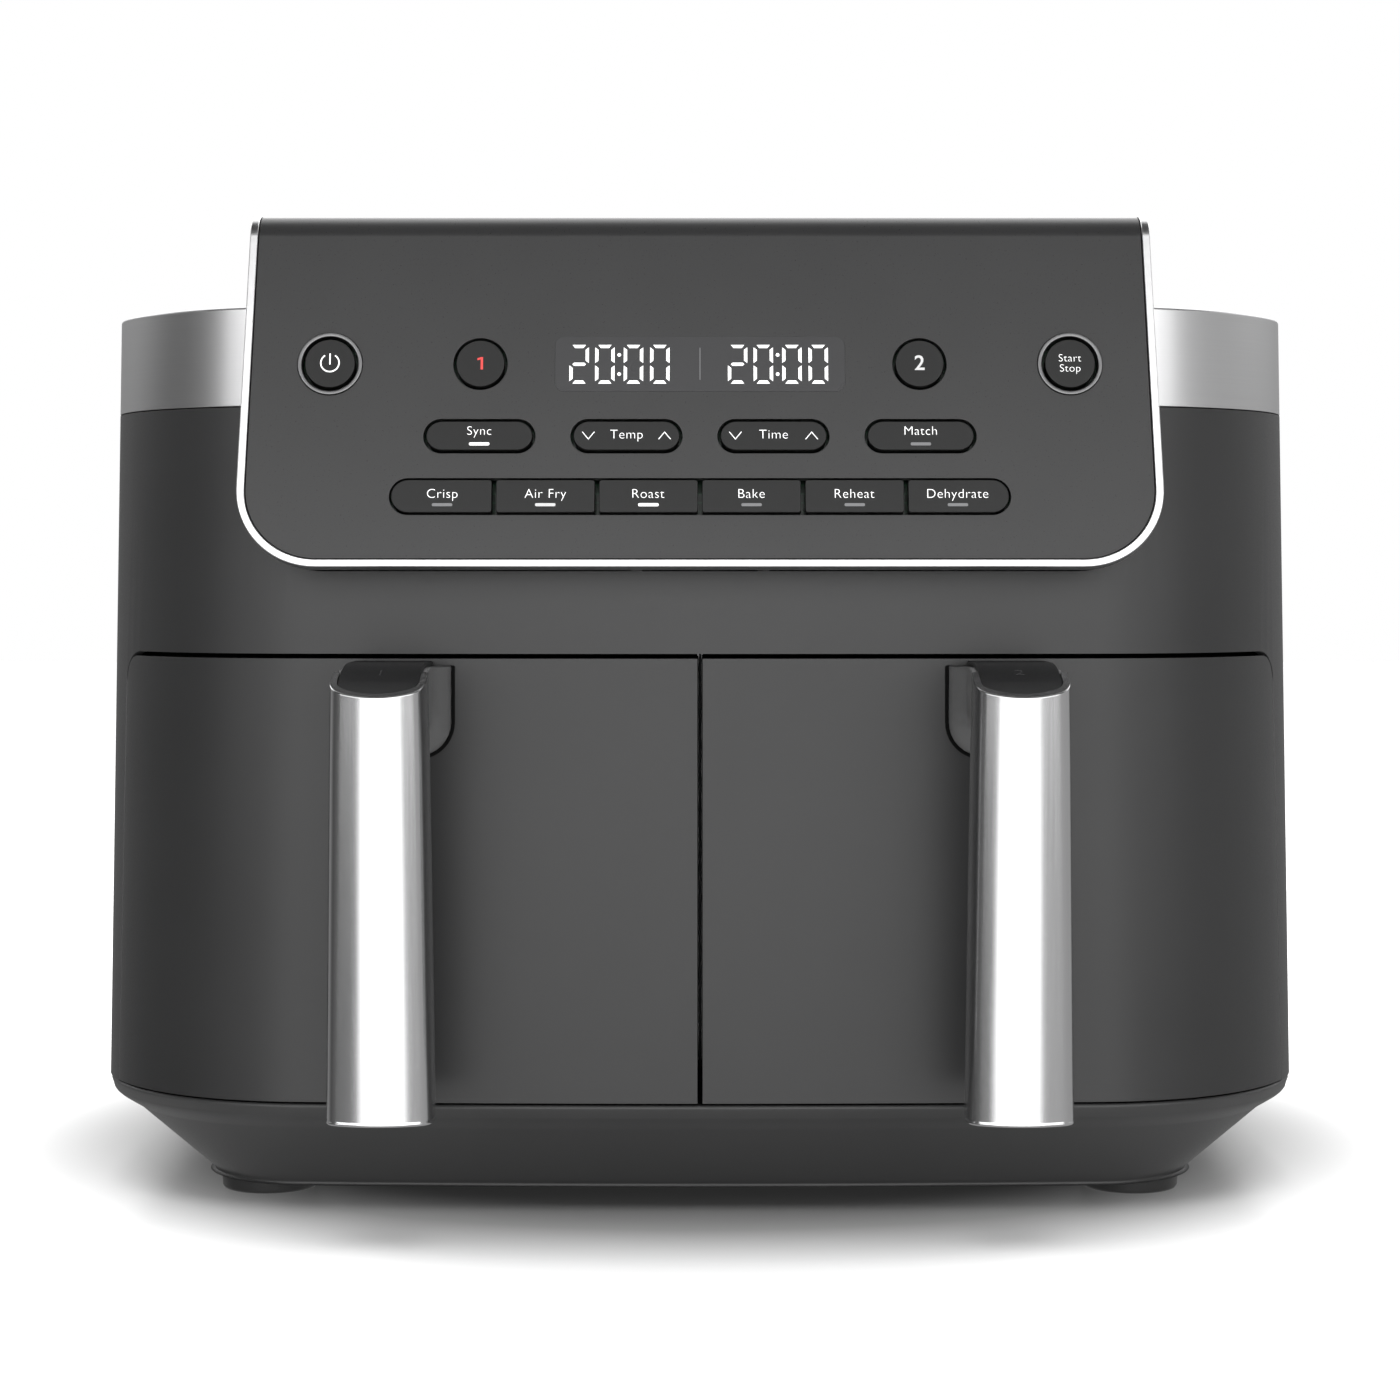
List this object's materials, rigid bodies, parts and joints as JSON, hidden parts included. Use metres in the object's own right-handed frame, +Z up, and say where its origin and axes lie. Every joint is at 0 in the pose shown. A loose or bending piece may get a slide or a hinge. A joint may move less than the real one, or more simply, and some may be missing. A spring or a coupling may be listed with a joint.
{
  "type": "air fryer",
  "caption": "Countertop air fryer with side-by-side drawers, upright bar handles, a leaning control panel with display and push buttons, and a fan-driven cooking zone above each drawer.",
  "frame": {"origin": "on the table, under the centre of the whole object's box", "axes": "+X to the right as seen by a person facing the drawers, +Y to the back, +Z up"},
  "size_m": [0.3972, 0.352, 0.3141],
  "materials": {
    "base_plastic": "fine satin texture",
    "shell_plastic": "satin",
    "panel_plastic": "satin",
    "button_plastic": "satin",
    "black_plastic": "satin",
    "steel_cover": "brushed",
    "bright_trim": "polished",
    "display_lens": "smoked, glossy",
    "non_stick": "satin non-stick coating",
    "sheet_steel": "bare sheet",
    "motor_steel": "plain",
    "fan_metal": "pressed sheet",
    "rubber": "matt",
    "circuit_board": "lacquered"
  },
  "bodies": {
    "housing": {"base_pan": "base_plastic", "housing_shell": "shell_plastic", "upper_band": "steel_cover", "top_cover": "black_plastic", "rear_cover": "black_plastic", "cord_outlet": "rubber", "panel_housing": "black_plastic", "control_panel": "panel_plastic", "panel_trim": "bright_trim", "power_bezel": "bright_trim", "start_bezel": "bright_trim", "display_window": "display_lens", "control_board": "circuit_board", "power_board": "circuit_board", "foot_front_left": "rubber", "foot_front_right": "rubber", "foot_rear_left": "rubber", "foot_rear_right": "rubber", "left_cavity": "sheet_steel", "left_heat_shield": "sheet_steel", "left_heating_element": "sheet_steel", "left_fan_motor": "motor_steel", "right_cavity": "sheet_steel", "right_heat_shield": "sheet_steel", "right_heating_element": "sheet_steel", "right_fan_motor": "motor_steel"},
    "left_drawer": {"left_drawer_front": "shell_plastic", "left_drawer_backplate": "black_plastic", "left_drawer_basket": "non_stick", "left_handle_core": "black_plastic", "left_handle_cover": "steel_cover", "left_handle_cap": "black_plastic"},
    "left_crisper": {"left_crisper_plate": "non_stick"},
    "left_fan": {"left_fan_shaft": "motor_steel", "left_convection_fan": "fan_metal", "left_cooling_fan": "black_plastic"},
    "right_drawer": {"right_drawer_front": "shell_plastic", "right_drawer_backplate": "black_plastic", "right_drawer_basket": "non_stick", "right_handle_core": "black_plastic", "right_handle_cover": "steel_cover", "right_handle_cap": "black_plastic"},
    "right_crisper": {"right_crisper_plate": "non_stick"},
    "right_fan": {"right_fan_shaft": "motor_steel", "right_convection_fan": "fan_metal", "right_cooling_fan": "black_plastic"},
    "power_button_body": {"power_button": "button_plastic"},
    "start_stop_button_body": {"start_stop_button": "button_plastic"},
    "zone_1_button_body": {"zone_1_button": "button_plastic"},
    "zone_2_button_body": {"zone_2_button": "button_plastic"},
    "sync_button_body": {"sync_button": "button_plastic"},
    "match_button_body": {"match_button": "button_plastic"},
    "function_key_1_body": {"function_key_1": "button_plastic"},
    "function_key_2_body": {"function_key_2": "button_plastic"},
    "function_key_3_body": {"function_key_3": "button_plastic"},
    "function_key_4_body": {"function_key_4": "button_plastic"},
    "function_key_5_body": {"function_key_5": "button_plastic"},
    "function_key_6_body": {"function_key_6": "button_plastic"},
    "temperature_rocker_body": {"temperature_rocker": "button_plastic"},
    "time_rocker_body": {"time_rocker": "button_plastic"}
  },
  "joints": [
    {"name": "left_drawer_slide", "type": "slide", "parent": "housing", "child": "left_drawer", "axis": [0, -1, 0], "range_m": [0, 0.24]},
    {"name": "left_crisper_lift", "type": "slide", "parent": "left_drawer", "child": "left_crisper", "axis": [0, 0, 1], "range_m": [0, 0.1]},
    {"name": "left_fan_spin", "type": "hinge", "parent": "housing", "child": "left_fan", "pos_m": [-0.094, 0.028, 0.23], "axis": [0, 0, 1], "continuous": true},
    {"name": "right_drawer_slide", "type": "slide", "parent": "housing", "child": "right_drawer", "axis": [0, -1, 0], "range_m": [0, 0.24]},
    {"name": "right_crisper_lift", "type": "slide", "parent": "right_drawer", "child": "right_crisper", "axis": [0, 0, 1], "range_m": [0, 0.1]},
    {"name": "right_fan_spin", "type": "hinge", "parent": "housing", "child": "right_fan", "pos_m": [0.094, 0.028, 0.23], "axis": [0, 0, 1], "continuous": true},
    {"name": "power_button_press", "type": "slide", "parent": "housing", "child": "power_button_body", "axis": [0, 0.9681, -0.2504], "range_m": [0, 0.0012], "stiffness_N_per_m": 500},
    {"name": "start_stop_button_press", "type": "slide", "parent": "housing", "child": "start_stop_button_body", "axis": [0, 0.9681, -0.2504], "range_m": [0, 0.0012], "stiffness_N_per_m": 500},
    {"name": "zone_1_button_press", "type": "slide", "parent": "housing", "child": "zone_1_button_body", "axis": [0, 0.9681, -0.2504], "range_m": [0, 0.0012], "stiffness_N_per_m": 500},
    {"name": "zone_2_button_press", "type": "slide", "parent": "housing", "child": "zone_2_button_body", "axis": [0, 0.9681, -0.2504], "range_m": [0, 0.0012], "stiffness_N_per_m": 500},
    {"name": "sync_button_press", "type": "slide", "parent": "housing", "child": "sync_button_body", "axis": [0, 0.9681, -0.2504], "range_m": [0, 0.0012], "stiffness_N_per_m": 500},
    {"name": "match_button_press", "type": "slide", "parent": "housing", "child": "match_button_body", "axis": [0, 0.9681, -0.2504], "range_m": [0, 0.0012], "stiffness_N_per_m": 500},
    {"name": "function_key_1_press", "type": "slide", "parent": "housing", "child": "function_key_1_body", "axis": [0, 0.9681, -0.2504], "range_m": [0, 0.0012], "stiffness_N_per_m": 500},
    {"name": "function_key_2_press", "type": "slide", "parent": "housing", "child": "function_key_2_body", "axis": [0, 0.9681, -0.2504], "range_m": [0, 0.0012], "stiffness_N_per_m": 500},
    {"name": "function_key_3_press", "type": "slide", "parent": "housing", "child": "function_key_3_body", "axis": [0, 0.9681, -0.2504], "range_m": [0, 0.0012], "stiffness_N_per_m": 500},
    {"name": "function_key_4_press", "type": "slide", "parent": "housing", "child": "function_key_4_body", "axis": [0, 0.9681, -0.2504], "range_m": [0, 0.0012], "stiffness_N_per_m": 500},
    {"name": "function_key_5_press", "type": "slide", "parent": "housing", "child": "function_key_5_body", "axis": [0, 0.9681, -0.2504], "range_m": [0, 0.0012], "stiffness_N_per_m": 500},
    {"name": "function_key_6_press", "type": "slide", "parent": "housing", "child": "function_key_6_body", "axis": [0, 0.9681, -0.2504], "range_m": [0, 0.0012], "stiffness_N_per_m": 500},
    {"name": "temperature_rocker_rock", "type": "hinge", "parent": "housing", "child": "temperature_rocker_body", "pos_m": [-0.02275, -0.12251, 0.24281], "axis": [0, 0.2504, 0.9681], "range_deg": [-2.5, 2.5], "stiffness_Nm_per_rad": 0.4},
    {"name": "time_rocker_rock", "type": "hinge", "parent": "housing", "child": "time_rocker_body", "pos_m": [0.02275, -0.12251, 0.24281], "axis": [0, 0.2504, 0.9681], "range_deg": [-2.5, 2.5], "stiffness_Nm_per_rad": 0.4}
  ]
}
